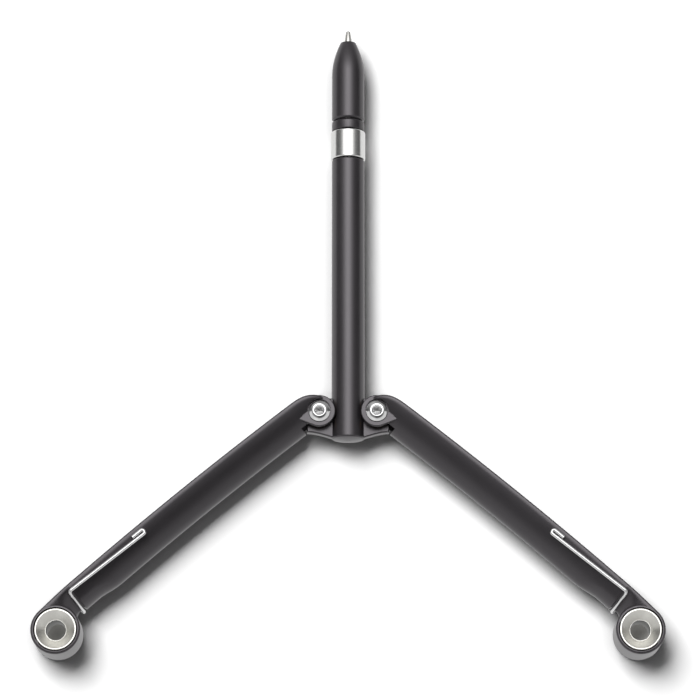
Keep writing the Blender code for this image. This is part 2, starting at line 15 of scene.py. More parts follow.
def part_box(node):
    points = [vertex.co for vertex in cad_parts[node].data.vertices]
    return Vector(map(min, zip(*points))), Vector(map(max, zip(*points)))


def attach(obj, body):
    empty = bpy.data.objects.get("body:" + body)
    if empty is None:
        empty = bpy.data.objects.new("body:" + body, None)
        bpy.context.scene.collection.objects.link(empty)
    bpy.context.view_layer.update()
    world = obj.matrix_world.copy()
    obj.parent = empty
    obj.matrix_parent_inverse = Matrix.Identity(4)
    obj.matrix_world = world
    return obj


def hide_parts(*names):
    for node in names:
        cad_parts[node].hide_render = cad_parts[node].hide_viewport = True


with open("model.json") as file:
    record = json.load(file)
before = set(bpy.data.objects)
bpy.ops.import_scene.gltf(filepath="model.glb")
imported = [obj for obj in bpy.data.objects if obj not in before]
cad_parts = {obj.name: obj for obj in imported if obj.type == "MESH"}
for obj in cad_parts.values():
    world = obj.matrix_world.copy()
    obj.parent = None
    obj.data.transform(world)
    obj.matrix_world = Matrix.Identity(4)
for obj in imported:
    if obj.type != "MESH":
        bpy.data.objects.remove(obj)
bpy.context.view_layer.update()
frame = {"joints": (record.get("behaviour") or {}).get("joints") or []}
joints = {joint["name"]: joint for joint in frame["joints"]}
MM = 0.001


# Barrel: one moulding of black glass-filled nylon, a tube with a blind bore and a domed end. The plate
# across its base is moulded with it and has a raised boss for each pivot, with a hole for its sleeve.


class Signal:
    """A socket of a node tree that takes part in plain arithmetic."""

    def __init__(self, tree, socket=None):
        self.tree = tree
        self.socket = socket

    def node(self, kind, settings=None, inputs=None, output=0):
        made = self.tree.nodes.new(kind)
        for key, value in (settings or {}).items():
            setattr(made, key, value)
        for key, value in (inputs or {}).items():
            if isinstance(value, Signal):
                self.tree.links.new(value.socket, made.inputs[key])
            else:
                made.inputs[key].default_value = value
        return Signal(self.tree, made.outputs[output])

    def math(self, operation, *values):
        return self.node("ShaderNodeMath", {"operation": operation}, dict(enumerate(values)))

    def __add__(self, other):
        return self.math("ADD", self, other)

    def __sub__(self, other):
        return self.math("SUBTRACT", self, other)

    def __rsub__(self, other):
        return self.math("SUBTRACT", other, self)

    def __mul__(self, other):
        return self.math("MULTIPLY", self, other)

    __radd__ = __add__
    __rmul__ = __mul__

    def feeds(self, node, name):
        self.tree.links.new(self.socket, node.inputs[name])


def new_finish(name):
    """A material with its shader, and the start of its node tree."""
    made = bpy.data.materials.new(name)
    made.use_nodes = True
    return made, made.node_tree.nodes["Principled BSDF"], Signal(made.node_tree)


def between(start, share, low, high):
    """A colour between two, by a value."""
    return start.node("ShaderNodeMix", {"data_type": "RGBA"}, {0: share, 6: low, 7: high}, 2)


def moulded_black():
    """Black nylon: deep, faintly clouded, with the fine grain of the mould."""
    made, shader, start = new_finish("moulded_black")
    place = start.node("ShaderNodeTexCoord", output="Object")
    cloud = start.node("ShaderNodeTexNoise", inputs={"Vector": place, "Scale": 140.0, "Detail": 4.0})
    grain = start.node("ShaderNodeTexNoise", inputs={"Vector": place, "Scale": 3400.0, "Detail": 3.0})
    deep = (0.0150, 0.0136, 0.0151, 1.0)
    pale = (0.0220, 0.0202, 0.0222, 1.0)
    between(start, cloud, deep, pale).feeds(shader, "Base Color")
    (0.25 + 0.05 * cloud + 0.05 * grain).feeds(shader, "Roughness")
    shader.inputs["Specular IOR Level"].default_value = 0.9
    shader.inputs["Specular Tint"].default_value = (1.0, 0.95, 1.0, 1.0)
    bump = start.node("ShaderNodeBump", inputs={"Strength": 0.22, "Distance": 0.00002, "Height": grain})
    bump.feeds(shader, "Normal")
    return made


def rounded(corners, steps=5):
    """A line through (x, y, radius) corners, each rounded by its radius."""
    points = []
    last = len(corners) - 1
    for i, (x, y, radius) in enumerate(corners):
        if radius == 0 or i in (0, last):
            points.append((x, y))
            continue
        here = Vector((x, y))
        back = (Vector(corners[i - 1][:2]) - here).normalized()
        ahead = (Vector(corners[i + 1][:2]) - here).normalized()
        half = back.angle(ahead) / 2
        centre = here + (back + ahead).normalized() * radius / sin(half)
        first = here + back * radius / tan(half) - centre
        second = here + ahead * radius / tan(half) - centre
        begin = atan2(first.y, first.x)
        sweep = (atan2(second.y, second.x) - begin + pi) % (2 * pi) - pi
        for k in range(steps + 1):
            angle = begin + sweep * k / steps
            points.append((centre.x + radius * cos(angle), centre.y + radius * sin(angle)))
    return points


def arc(centre, radius, start, end, steps):
    angles = [start + (end - start) * i / steps for i in range(steps + 1)]
    return [(centre[0] + radius * cos(a), centre[1] + radius * sin(a)) for a in angles]


def eased(place, start, length):
    """A share that rises smoothly from 0 to 1 over a length."""
    share = min(1.0, max(0.0, (place - start) / length))
    return share ** 2 * (3 - 2 * share)


def steps_between(low, high, count):
    return [low + (high - low) * i / count for i in range(count + 1)]


def new_piece(name, shape):
    bmesh.ops.recalc_face_normals(shape, faces=shape.faces)
    mesh = bpy.data.meshes.new(name)
    shape.to_mesh(mesh)
    shape.free()
    made = bpy.data.objects.new(name, mesh)
    bpy.context.scene.collection.objects.link(made)
    return made


def loft(name, rings):
    """A solid through rings of equally many points, closed at both ends."""
    shape = bmesh.new()
    rows = [[shape.verts.new(point) for point in ring] for ring in rings]
    for row, following in zip(rows, rows[1:]):
        for i in range(len(row)):
            j = (i + 1) % len(row)
            shape.faces.new((row[i], row[j], following[j], following[i]))
    shape.faces.new(rows[0])
    shape.faces.new(rows[-1])
    return new_piece(name, shape)


def lathe(name, profile, place, steps=128, closed=False):
    """A line of (radius, height) points, turned about the z of a place."""
    shape = bmesh.new()
    rows = []
    for radius, height in profile:
        turns = steps if radius > 0 else 1
        row = []
        for i in range(turns):
            angle = 2 * pi * i / turns
            row.append(shape.verts.new(place @ Vector((radius * cos(angle), radius * sin(angle), height))))
        rows.append(row)
    pairs = list(zip(rows, rows[1:]))
    if closed:
        pairs.append((rows[-1], rows[0]))
    for row, following in pairs:
        for i in range(steps):
            j = (i + 1) % steps
            corners = [row[i % len(row)], row[j % len(row)]]
            corners += [following[j % len(following)], following[i % len(following)]]
            shape.faces.new(list(dict.fromkeys(corners)))
    return new_piece(name, shape)


def carve(work, operation, *tools):
    """Joins or cuts a piece with others, which are used up."""
    for tool in tools:
        change = work.modifiers.new(tool.name, "BOOLEAN")
        change.operation = operation
        change.solver = "EXACT"
        change.object = tool
    depsgraph = bpy.context.evaluated_depsgraph_get()
    mesh = bpy.data.meshes.new_from_object(work.evaluated_get(depsgraph))
    work.modifiers.clear()
    work.data = mesh
    for tool in tools:
        bpy.data.objects.remove(tool)


def shade(work, finish, sharp=radians(32)):
    """Smooth over the rounds, sharp along the edges, in one finish."""
    work.data.materials.clear()
    work.data.materials.append(finish)
    work.data.shade_smooth()
    work.data.set_sharp_from_angle(angle=sharp)
    level = work.modifiers.new("Even shading", "WEIGHTED_NORMAL")
    level.keep_sharp = True


def stands_for(work, node, body):
    """The piece takes a solid's place on its body."""
    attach(work, body)
    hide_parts(node)


def round_edges(half, radius, steps=4):
    """Pairs of inset and height up the side of a plate with rounded edges."""
    turns = [pi / 2 * k / steps for k in range(steps + 1)]
    under = [(radius * (1 - sin(turn)), radius * (1 - cos(turn)) - half) for turn in turns]
    return under + [(inset, -height) for inset, height in reversed(under)]


def drawn_in(outline, amount):
    """An outline that runs counter-clockwise, moved inwards."""
    moved = []
    for i, (x, y) in enumerate(outline):
        before = outline[i - 1]
        after = outline[(i + 1) % len(outline)]
        way = Vector((after[0] - before[0], after[1] - before[1])).normalized()
        moved.append((x - way.y * amount, y + way.x * amount))
    return moved


black = moulded_black()

barrel_low, barrel_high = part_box("barrel")
barrel_radius = (barrel_high.z - barrel_low.z) / 2
axis_height = (barrel_high.z + barrel_low.z) / 2
pen_axis = Matrix.Translation((0, 0, axis_height)) @ Matrix.Rotation(-pi / 2, 4, "X")
half_spacing = joints["right_swing"]["pos_m"][0]
pivot_y = joints["right_swing"]["pos_m"][1]

PIN_STEPS = 96
BASE_DOME = 0.55 * MM
DOME_STEPS = 10
DOME_EDGE = 0.5 * MM
MOUTH_EDGE = 0.3 * MM
MOUTH_BORE = 3.25 * MM
MOUTH_DEPTH = 8.0 * MM
REFILL_BORE = 2.1 * MM
BORE_FLOOR = 11.0 * MM
dome_radius = (barrel_radius ** 2 + BASE_DOME ** 2) / (2 * BASE_DOME)
dome_turn = acos(1 - BASE_DOME / dome_radius)
dome = arc((0.0, barrel_low.y + dome_radius), dome_radius, -pi / 2, dome_turn - pi / 2, DOME_STEPS)
barrel = lathe("barrel_tube", rounded([
    (0.0, barrel_low.y, 0),
    *[(x, y, 0) for x, y in dome[1:-1]],
    (*dome[-1], DOME_EDGE),
    (barrel_radius, barrel_high.y, MOUTH_EDGE),
    (MOUTH_BORE, barrel_high.y, MOUTH_EDGE / 2),
    (MOUTH_BORE, barrel_high.y - MOUTH_DEPTH, 0),
    (REFILL_BORE, barrel_high.y - MOUTH_DEPTH, 0),
    (REFILL_BORE, barrel_low.y + BORE_FLOOR, 0),
    (0.0, barrel_low.y + BORE_FLOOR, 0),
]), pen_axis)

LUG_RADIUS = 4.0 * MM
CORNER_DISTANCE = 6.1 * MM
CORNER_ANGLE = radians(-58.4)
BASE_BOW = 2.15 * MM
BASE_STEPS = 60
SIDE_STEPS = 24
HALF_PLATE = 1.4 * MM
PLATE_EDGE = 0.4 * MM
HALF_BOSS = 2.3 * MM
BOSS_RADIUS = 3.69 * MM
SLEEVE_HOLE = 2.25 * MM
corner_x = half_spacing + CORNER_DISTANCE * cos(CORNER_ANGLE)
corner_y = CORNER_DISTANCE * sin(CORNER_ANGLE)
leaves = CORNER_ANGLE + acos(LUG_RADIUS / CORNER_DISTANCE)
left_side = [(-x, y) for x, y in arc((half_spacing, 0.0), LUG_RADIUS, pi / 2, leaves, SIDE_STEPS)]
base_edge = []
for x in steps_between(-corner_x, corner_x, BASE_STEPS):
    base_edge.append((x, corner_y - BASE_BOW * (1 - eased(abs(x), 0.0, corner_x))))
right_side = [(-x, y) for x, y in reversed(left_side)]
plate_outline = left_side + base_edge + right_side
plate_rings = []
for inset, height in round_edges(HALF_PLATE, PLATE_EDGE):
    ring = drawn_in(plate_outline, inset)
    plate_rings.append([(x, pivot_y + y, axis_height + height) for x, y in ring])
carve(barrel, "UNION", loft("base_plate", plate_rings))
for way in (-1, 1):
    at_pivot = Matrix.Translation((way * half_spacing, pivot_y, axis_height))
    boss = lathe("lug_boss", [(0.0, HALF_BOSS), (BOSS_RADIUS, HALF_BOSS), (BOSS_RADIUS, -HALF_BOSS),
                              (0.0, -HALF_BOSS)], at_pivot, PIN_STEPS)
    carve(barrel, "UNION", boss)
    hole = lathe("lug_hole", [(0.0, barrel_radius), (SLEEVE_HOLE, barrel_radius),
                              (SLEEVE_HOLE, -barrel_radius), (0.0, -barrel_radius)], at_pivot, PIN_STEPS)
    carve(barrel, "DIFFERENCE", hole)
shade(barrel, black)
stands_for(barrel, "barrel", "pen")


# Grip band: a bright steel ring with a polished, finely turned face and broken edges. A sleeve inside
# it, in one with the ring, screws into the barrel on one side and into the nose on the other.


def turned_steel():
    """Polished steel with the faint rings that turning leaves round the pen's axis."""
    made, shader, start = new_finish("turned_steel")
    place = start.node("ShaderNodeTexCoord", output="Object")
    shader.inputs["Metallic"].default_value = 1.0
    along = start.node("ShaderNodeVectorMath", {"operation": "MULTIPLY"}, {0: place, 1: (60.0, 9000.0, 60.0)})
    lines = start.node("ShaderNodeTexNoise", inputs={"Vector": along, "Scale": 1.0, "Detail": 2.0})
    between(start, lines, (0.72, 0.72, 0.71, 1.0), (0.84, 0.84, 0.83, 1.0)).feeds(shader, "Base Color")
    (0.17 + 0.08 * lines).feeds(shader, "Roughness")
    bump = start.node("ShaderNodeBump", inputs={"Strength": 0.05, "Distance": 0.00001, "Height": lines})
    bump.feeds(shader, "Normal")
    return made


steel = turned_steel()
band_low, band_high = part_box("grip_band")
band_radius = (band_high.z - band_low.z) / 2
SLEEVE_LENGTH = 8.0 * MM
SLEEVE_RADIUS = 3.0 * MM
BAND_EDGE = 0.3 * MM
ring_low = band_low.y + SLEEVE_LENGTH
ring_high = band_high.y - SLEEVE_LENGTH
band = lathe("grip_band_ring", rounded([
    (REFILL_BORE, band_high.y, 0),
    (SLEEVE_RADIUS, band_high.y, 0),
    (SLEEVE_RADIUS, ring_high, 0),
    (band_radius, ring_high, BAND_EDGE),
    (band_radius, ring_low, BAND_EDGE),
    (SLEEVE_RADIUS, ring_low, 0),
    (SLEEVE_RADIUS, band_low.y, 0),
    (REFILL_BORE, band_low.y, 0),
]), pen_axis, closed=True)
shade(band, steel)
stands_for(band, "grip_band", "pen")


# Collar and nose: black nylon like the barrel. The collar is a plain ring above the band, and the nose a
# bullet that screws on against it. Their bevelled edges meet in a V-groove.

collar_low, collar_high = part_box("nose_collar")
nose_low, nose_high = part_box("nose_cone")
nose_radius = (nose_high.z - nose_low.z) / 2
GROOVE_DEPTH = 0.45 * MM
GROOVE_HALF = 0.55 * MM
GROOVE_EDGE = 0.1 * MM
COLLAR_EDGE = 0.28 * MM
OGIVE_LENGTH = 9.5 * MM
OGIVE_STEPS = 28
NIB_HOLE = 1.4 * MM
NIB_HOLE_EDGE = 0.1 * MM
LIP_RADIUS = 2.05 * MM
LIP_EDGE = 0.15 * MM
NOSE_SOCKET = 8.6 * MM
parting = (collar_high.y + nose_low.y) / 2
collar = lathe("nose_collar_ring", rounded([
    (MOUTH_BORE, collar_high.y, 0),
    (nose_radius - GROOVE_DEPTH, collar_high.y, 0),
    (nose_radius, parting - GROOVE_HALF, GROOVE_EDGE),
    (nose_radius, collar_low.y, COLLAR_EDGE),
    (MOUTH_BORE, collar_low.y, 0),
]), pen_axis, closed=True)
shade(collar, black)
stands_for(collar, "nose_collar", "pen")

ogive = []
for i in range(OGIVE_STEPS + 1):
    share = i / OGIVE_STEPS
    swell = 1 - (1 - share) ** 2
    ogive.append((LIP_RADIUS + (nose_radius - LIP_RADIUS) * swell, nose_high.y - OGIVE_LENGTH * share))
nose = lathe("nose_bullet", rounded([
    (NIB_HOLE, nose_low.y + NOSE_SOCKET, 0),
    (NIB_HOLE, nose_high.y, NIB_HOLE_EDGE),
    (*ogive[0], LIP_EDGE),
    *[(x, y, 0) for x, y in ogive[1:]],
    (nose_radius, parting + GROOVE_HALF, GROOVE_EDGE),
    (nose_radius - GROOVE_DEPTH, nose_low.y, 0),
    (MOUTH_BORE, nose_low.y, 0),
    (MOUTH_BORE, nose_low.y + NOSE_SOCKET, 0),
]), pen_axis, closed=True)
shade(nose, black)
stands_for(nose, "nose_cone", "pen")


# Refill: a slim plastic ink tube that stands in the barrel, with a turned nickel-silver point pressed into
# its end. A hard ball turns in the point's cup. Only the point shows.


def turned_nickel():
    """Nickel silver, turned: a warm bright metal with fine rings round the pen's axis."""
    made, shader, start = new_finish("turned_nickel")
    place = start.node("ShaderNodeTexCoord", output="Object")
    shader.inputs["Metallic"].default_value = 1.0
    along = start.node("ShaderNodeVectorMath", {"operation": "MULTIPLY"}, {0: place, 1: (90.0, 7000.0, 90.0)})
    lines = start.node("ShaderNodeTexNoise", inputs={"Vector": along, "Scale": 1.0, "Detail": 2.0})
    between(start, lines, (0.62, 0.61, 0.585, 1.0), (0.74, 0.73, 0.70, 1.0)).feeds(shader, "Base Color")
    (0.22 + 0.10 * lines).feeds(shader, "Roughness")
    return made


def milky_tube():
    """Milky polypropylene with a trace of flow marks."""
    made, shader, start = new_finish("milky_tube")
    place = start.node("ShaderNodeTexCoord", output="Object")
    flow = start.node("ShaderNodeTexNoise", inputs={"Vector": place, "Scale": 500.0, "Detail": 2.0})
    between(start, flow, (0.50, 0.53, 0.57, 1.0), (0.60, 0.63, 0.67, 1.0)).feeds(shader, "Base Color")
    (0.25 + 0.10 * flow).feeds(shader, "Roughness")
    return made


def hard_ball():
    """Sintered carbide, ground and polished."""
    made, shader, start = new_finish("hard_ball")
    place = start.node("ShaderNodeTexCoord", output="Object")
    shader.inputs["Metallic"].default_value = 1.0
    grit = start.node("ShaderNodeTexNoise", inputs={"Vector": place, "Scale": 9000.0, "Detail": 2.0})
    between(start, grit, (0.30, 0.30, 0.31, 1.0), (0.40, 0.40, 0.41, 1.0)).feeds(shader, "Base Color")
    (0.15 + 0.10 * grit).feeds(shader, "Roughness")
    return made


nickel = turned_nickel()
nib_low, nib_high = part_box("refill_nib")
ball_low, ball_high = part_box("writing_ball")
nib_radius = (nib_high.z - nib_low.z) / 2
ball_radius = (ball_high.z - ball_low.z) / 2
ball_y = (ball_high.y + ball_low.y) / 2
NIB_TAPER = 0.05 * MM
NIB_EXPOSED = 3.5 * MM
NIB_STEM = 3.0 * MM
STEM_RADIUS = 0.65 * MM
CUP_GAP = 0.06 * MM
CUP_LIP = 0.12 * MM
CUP_EDGE = 0.03 * MM
CUP_STEPS = 12
REFILL_STEPS = 64
cup = ball_radius + CUP_GAP
grip = acos((nib_high.y - ball_y) / cup)
seat = arc((0.0, ball_y), cup, -pi / 2, pi / 2 - grip, CUP_STEPS)
nib = lathe("nib_point", rounded([
    (0.0, ball_y - cup, 0),
    *[(x, y, 0) for x, y in seat[1:]],
    (ball_radius + CUP_LIP, nib_high.y, CUP_EDGE),
    (nib_radius - NIB_TAPER, nose_high.y, 0),
    (nib_radius, nose_high.y - NIB_EXPOSED, 0),
    (nib_radius, nib_low.y + NIB_STEM, 0),
    (STEM_RADIUS, nib_low.y + NIB_STEM, 0),
    (STEM_RADIUS, nib_low.y, 0),
    (0.0, nib_low.y, 0),
]), pen_axis, REFILL_STEPS)
shade(nib, nickel)
stands_for(nib, "refill_nib", "pen")

BALL_STEPS = 48
ball_line = arc((0.0, ball_y), ball_radius, pi / 2, -pi / 2, BALL_STEPS // 2)
ball_line[0] = (0.0, ball_high.y)
ball_line[-1] = (0.0, ball_low.y)
ball = lathe("nib_ball", ball_line, pen_axis, BALL_STEPS)
shade(ball, hard_ball())
stands_for(ball, "writing_ball", "pen")

tube_low, tube_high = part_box("refill_tube")
tube_radius = (tube_high.z - tube_low.z) / 2
TUBE_BORE = 0.9 * MM
TUBE_EDGE = 0.1 * MM
tube = lathe("ink_tube", rounded([
    (TUBE_BORE, tube_high.y, 0),
    (tube_radius, tube_high.y, TUBE_EDGE),
    (tube_radius, tube_low.y, TUBE_EDGE),
    (TUBE_BORE, tube_low.y, 0),
]), pen_axis, REFILL_STEPS, closed=True)
shade(tube, milky_tube())
stands_for(tube, "refill_tube", "pen")


# Handles: black nylon mouldings with an arched face on each side and a deep channel that takes the barrel.
# Two ears straddle the lug on a flat boss, and a plain ring at the far end holds the weight.

clip_axis = joints["left_clip_flex"]["axis"]
HANDLE_LENGTH = 89.35 * MM
EAR_RADIUS = 4.2 * MM
EAR_ROUND = 4.05 * MM
EAR_TURN = radians(46)
EAR_FACE = 4.42 * MM
EAR_EDGE = 0.28 * MM
EAR_TAIL_REACH = 5.6 * MM
EAR_TAIL_SIDE = 1.6 * MM
EAR_STEPS = 90
EAR_STATIONS = 24
HEAD_SEAT = 3.75 * MM
HEAD_GAP = 0.25 * MM
SLEEVE_HOLE_STEPS = 100
SLOT_RADIUS = 6.6 * MM
SLOT_HALF = 3.1 * MM
SLOT_STEPS = 128
CHANNEL_RADIUS = 4.65 * MM
CHANNEL_END = 78.6 * MM
CHANNEL_STEPS = 96
MIDDLE_GAP = 0.25 * MM
OUTER_WIDTH = half_spacing - MIDDLE_GAP
OUTER_PEAK = 56.0 * MM
OUTER_BOW = 1.1 * MM
BACK_WAIST = 0.9 * MM
BACK_WAIST_AT = 54.0 * MM
BACK_FLARE = 1.4 * MM
BACK_PINCH = 0.85 * MM
BACK_STEPS = 12
PINCH_START = 68.6 * MM
PINCH_LENGTH = 7.0 * MM
FACE_RADIUS = 14.6 * MM
FACE_TILT = radians(12)
FACE_STEPS = 14
FACE_STATIONS = 44
RIM_ROUND = 0.5 * MM
RIM_LAND = 0.5 * MM
RIM_STEPS = 5
RING_RADIUS = 6.46 * MM
RING_ROUND = 0.55 * MM
RING_ROUND_STEPS = 6
SEAT_RADIUS = 5.725 * MM
SEAT_STEPS = 128
STEP_AT = 79.6 * MM
STEP_LEAN = 0.05 * MM
NECK_FLAT = 1.6 * MM
NECK_RISE = 4.0 * MM
NECK_TILT = radians(28)
NECK_INSET = 0.75 * MM
NECK_FLARE = 1.0 * MM
NECK_STATIONS = 14
half_handle = axis_height
step_to_ring = HANDLE_LENGTH - STEP_AT
ear_turn = -EAR_ROUND * sin(EAR_TURN)


def spot(way, along, across, height):
    """A place on the left (-1) or right (1) handle: along it, across it to its back, and above its middle."""
    x = half_spacing - clip_axis[1] * along - clip_axis[0] * across
    y = pivot_y - clip_axis[0] * along + clip_axis[1] * across
    return Vector((way * x, y, axis_height + height))


def outer_edge(along):
    """How far the channel side lies from the handle's pivot line."""
    bowed = OUTER_WIDTH - OUTER_BOW * ((along - OUTER_PEAK) / (OUTER_PEAK - SLOT_RADIUS)) ** 2
    if along < ear_turn:
        return sqrt(EAR_ROUND ** 2 - along ** 2)
    if along < SLOT_RADIUS:
        share = (along - ear_turn) / (SLOT_RADIUS - ear_turn)
        at_ear = EAR_ROUND * cos(EAR_TURN)
        return at_ear + (bowed - at_ear) * (1 - (1 - share) ** 4)
    if along > STEP_AT:
        share = (along - STEP_AT) / step_to_ring
        return bowed + (RING_RADIUS - bowed) * share ** 2
    return bowed


def section_arcs(along, neck):
    """The face's arc and the arc round the back that it runs into."""
    back = BACK_WAIST + BACK_FLARE * ((along - BACK_WAIST_AT) / BACK_WAIST_AT) ** 2
    back -= BACK_PINCH * eased(along, PINCH_START, PINCH_LENGTH)
    tilt = FACE_TILT
    if neck:
        risen = eased(along, STEP_AT + NECK_FLAT, NECK_RISE)
        tilt += (NECK_TILT - FACE_TILT) * (1 - risen)
        back += NECK_FLARE * risen - NECK_INSET * (1 - risen)
    face_start = outer_edge(max(along, SLOT_RADIUS)) - RIM_ROUND - RIM_LAND
    face_centre = (-face_start - FACE_RADIUS * sin(tilt), half_handle - FACE_RADIUS * cos(tilt))
    reach = back - face_centre[0]
    spare = FACE_RADIUS ** 2 - reach ** 2 - face_centre[1] ** 2
    back_radius = spare / (2 * (FACE_RADIUS - reach))
    tangent = acos((reach - back_radius) / (FACE_RADIUS - back_radius))
    return face_centre, (back - back_radius, 0.0), back_radius, tangent


def handle_section(along, neck):
    """Places (across, height) round the handle: its back, arched faces, narrow lands and rounded rims."""
    face_centre, back_centre, back_radius, tangent = section_arcs(along, neck)
    outer = -outer_edge(along)
    face_end = acos((outer + RIM_ROUND + RIM_LAND - face_centre[0]) / FACE_RADIUS)
    upper = arc(back_centre, back_radius, 0.0, tangent, BACK_STEPS)
    upper += arc(face_centre, FACE_RADIUS, tangent, face_end, FACE_STEPS)[1:]
    land = upper[-1][1]
    upper += arc((outer + RIM_ROUND, land - RIM_ROUND), RIM_ROUND, pi / 2, pi, RIM_STEPS)
    return upper + [(across, -height) for across, height in reversed(upper[1:])]


def drum(name, way, along, radius, low, high, steps):
    """A plain round cutter that stands on a handle's pivot line."""
    centre = Matrix.Translation(spot(way, along, 0.0, 0.0))
    return lathe(name, [(0.0, high), (radius, high), (radius, low), (0.0, low)], centre, steps)


def ear_outline(amount):
    """The flat boss of an ear, a circle with a tail, moved inwards."""
    radius = EAR_RADIUS - amount
    reach = EAR_TAIL_REACH - amount
    tail = atan2(-EAR_TAIL_SIDE, reach)
    opening = acos(radius / sqrt(reach ** 2 + EAR_TAIL_SIDE ** 2))
    circle = arc((0.0, 0.0), radius, tail + opening, tail - opening + 2 * pi, EAR_STEPS)
    return [(reach, -EAR_TAIL_SIDE)] + circle


for way, name in ((-1, "left"), (1, "right")):
    before_neck = steps_between(RIM_ROUND - EAR_RADIUS, SLOT_RADIUS, EAR_STATIONS)
    before_neck += steps_between(SLOT_RADIUS, STEP_AT, FACE_STATIONS)[1:]
    rise_from = STEP_AT + NECK_FLAT
    rise = steps_between(rise_from, rise_from + NECK_RISE, NECK_STATIONS)
    in_neck = [STEP_AT + STEP_LEAN, *rise, HANDLE_LENGTH]
    stations = [(along, False) for along in before_neck] + [(along, True) for along in in_neck]
    rings = []
    for along, neck in stations:
        rings.append([spot(way, along, *point) for point in handle_section(along, neck)])
    handle = loft(f"{name}_handle_body", rings)

    boss_rings = []
    for inset, height in round_edges(EAR_FACE, EAR_EDGE):
        boss_rings.append([spot(way, *point, height) for point in ear_outline(inset)])
    carve(handle, "UNION", loft("ear_boss", boss_rings))

    ring_place = Matrix.Translation(spot(way, HANDLE_LENGTH, 0.0, 0.0))
    ring = lathe("end_ring", rounded([
        (0.0, half_handle, 0),
        (RING_RADIUS, half_handle, RING_ROUND),
        (RING_RADIUS, -half_handle, RING_ROUND),
        (0.0, -half_handle, 0),
    ], RING_ROUND_STEPS), ring_place)
    carve(handle, "UNION", ring)

    clear = 2 * half_handle
    head_low, head_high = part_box(f"{name}_pivot_screw")
    head_hole = (head_high.x - head_low.x) / 2 + HEAD_GAP
    carve(handle, "DIFFERENCE", drum("front_head_hole", way, 0.0, head_hole, HEAD_SEAT, clear, PIN_STEPS))
    carve(handle, "DIFFERENCE", drum("back_head_hole", way, 0.0, head_hole, -clear, -HEAD_SEAT, PIN_STEPS))
    channel_rings = []
    for along in (-2 * EAR_RADIUS, CHANNEL_END):
        circle = arc((-half_spacing, 0.0), CHANNEL_RADIUS, 0.0, 2 * pi, CHANNEL_STEPS)[:-1]
        channel_rings.append([spot(way, along, *point) for point in circle])
    carve(handle, "DIFFERENCE", loft("barrel_channel", channel_rings))
    carve(handle, "DIFFERENCE", drum("lug_slot", way, 0.0, SLOT_RADIUS, -SLOT_HALF, SLOT_HALF, SLOT_STEPS))
    carve(handle, "DIFFERENCE", drum("sleeve_hole", way, 0.0, SLEEVE_HOLE, -clear, clear, SLEEVE_HOLE_STEPS))
    weight_seat = drum("weight_seat", way, HANDLE_LENGTH, SEAT_RADIUS, -clear, clear, SEAT_STEPS)
    carve(handle, "DIFFERENCE", weight_seat)
    shade(handle, black)
    stands_for(handle, f"{name}_handle", f"{name}_arm")


# End weights: rings turned from nickel-plated brass, pressed into the handles' ends. Both faces are dished
# to a round hole through the middle and have a narrow bright rim.


def turned_weight(centre):
    """Satin nickel with the concentric lines that facing leaves; the bore's wall is rougher and painted dark
    as painted shade inside the hole.
    """
    made, shader, start = new_finish("turned_weight")
    shader.inputs["Metallic"].default_value = 1.0
    place = start.node("ShaderNodeTexCoord", output="Object")
    level = start.node("ShaderNodeVectorMath", {"operation": "MULTIPLY"}, {0: place, 1: (1.0, 1.0, 0.0)})
    hub = (centre.x, centre.y, 0.0)
    away = start.node("ShaderNodeVectorMath", {"operation": "DISTANCE"}, {0: level, 1: hub}, "Value")
    lines = start.node("ShaderNodeTexNoise", {"noise_dimensions": "1D"}, {"W": away * 9000.0, "Detail": 2.0})
    patches = start.node("ShaderNodeTexNoise", inputs={"Vector": place, "Scale": 260.0, "Detail": 3.0})
    faced = between(start, patches, (0.70, 0.69, 0.65, 1.0), (0.78, 0.77, 0.73, 1.0))
    # Painted shade: the bore's wall is painted dark grey, standing in for the shade down the hole.
    painted_bore_shade = start.math("LESS_THAN", away, HOLE_RADIUS + BORE_SHADE_REACH)
    between(start, painted_bore_shade, faced, (0.16, 0.16, 0.15, 1.0)).feeds(shader, "Base Color")
    (0.24 + 0.12 * lines + 0.05 * patches + 0.2 * painted_bore_shade).feeds(shader, "Roughness")
    bump = start.node("ShaderNodeBump", inputs={"Strength": 0.10, "Distance": 0.00001, "Height": lines})
    bump.feeds(shader, "Normal")
    return made


WEIGHT_RIM = 0.45 * MM
HOLE_RADIUS = 2.625 * MM
HOLE_LAND = 0.13 * MM
BORE_SHADE_REACH = 0.04 * MM
LAND_EDGE = 0.03 * MM
DISH_DEPTH = 2.0 * MM
DISH_EDGE = 0.06 * MM
WEIGHT_EDGE = 0.2 * MM
for way, name in ((-1, "left"), (1, "right")):
    low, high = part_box(f"{name}_end_weight")
    radius = (high.x - low.x) / 2
    face = (high.z - low.z) / 2
    top = [
        (HOLE_RADIUS, face - DISH_DEPTH, LAND_EDGE),
        (HOLE_RADIUS + HOLE_LAND, face - DISH_DEPTH, LAND_EDGE),
        (radius - WEIGHT_RIM, face, DISH_EDGE),
        (radius, face, WEIGHT_EDGE),
    ]
    bottom = [(away, -height, edge) for away, height, edge in reversed(top)]
    corners = [(HOLE_RADIUS, 0.0, 0), *top, *bottom, (HOLE_RADIUS, 0.0, 0)]
    centre = (low + high) / 2
    weight = lathe(f"{name}_weight_ring", rounded(corners)[:-1], Matrix.Translation(centre), closed=True)
    shade(weight, turned_weight(centre))
    stands_for(weight, f"{name}_end_weight", f"{name}_arm")


# Pivots: a button-head screw closes into a sleeve nut through both ears and the lug. Both are bright
# steel with a hex socket, and a bronze washer keeps each ear off the lug.


